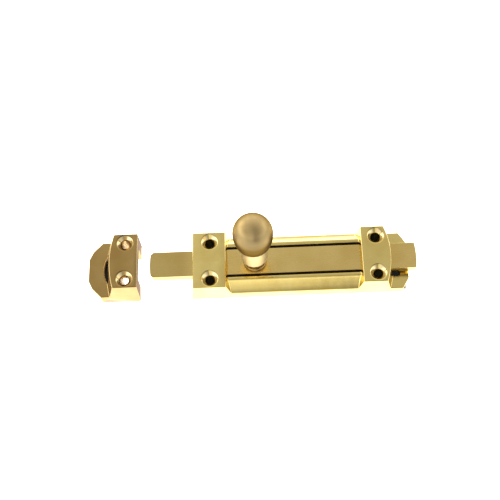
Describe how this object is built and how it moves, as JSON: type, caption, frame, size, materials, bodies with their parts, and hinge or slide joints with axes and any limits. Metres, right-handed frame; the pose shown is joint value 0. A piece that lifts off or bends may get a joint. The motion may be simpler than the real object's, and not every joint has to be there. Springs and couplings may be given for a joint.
{
  "type": "barrel bolt",
  "caption": "Flat-bar surface bolt for doors and gates: knob-driven bar slides under two straps of a cast channel body into a separate arched keeper.",
  "frame": {"origin": "on the door face, midway between the four screw holes of the body", "axes": "+X along the bar away from the keeper, +Y across the bolt, +Z out from the door towards the knob"},
  "size_m": [0.1534, 0.0286, 0.0489],
  "materials": {
    "cast_brass": "polished casting",
    "bar_brass": "satin, brushed along the bar",
    "knob_brass": "turned and polished",
    "keeper_brass": "polished casting, browner",
    "spring_bronze": "rolled phosphor bronze strip",
    "steel": "plain steel"
  },
  "bodies": {
    "body": {"body_casting": "cast_brass", "keeper": "keeper_brass"},
    "bolt": {"bolt_bar": "bar_brass", "knob": "knob_brass", "knob_washer": "knob_brass", "knob_screw": "steel", "friction_spring": "spring_bronze", "stop_pin": "steel"}
  },
  "joints": [
    {"name": "bolt_slide", "type": "slide", "parent": "body", "child": "bolt", "axis": [-1, 0, 0], "range_m": [-0.019, 0.007]}
  ]
}
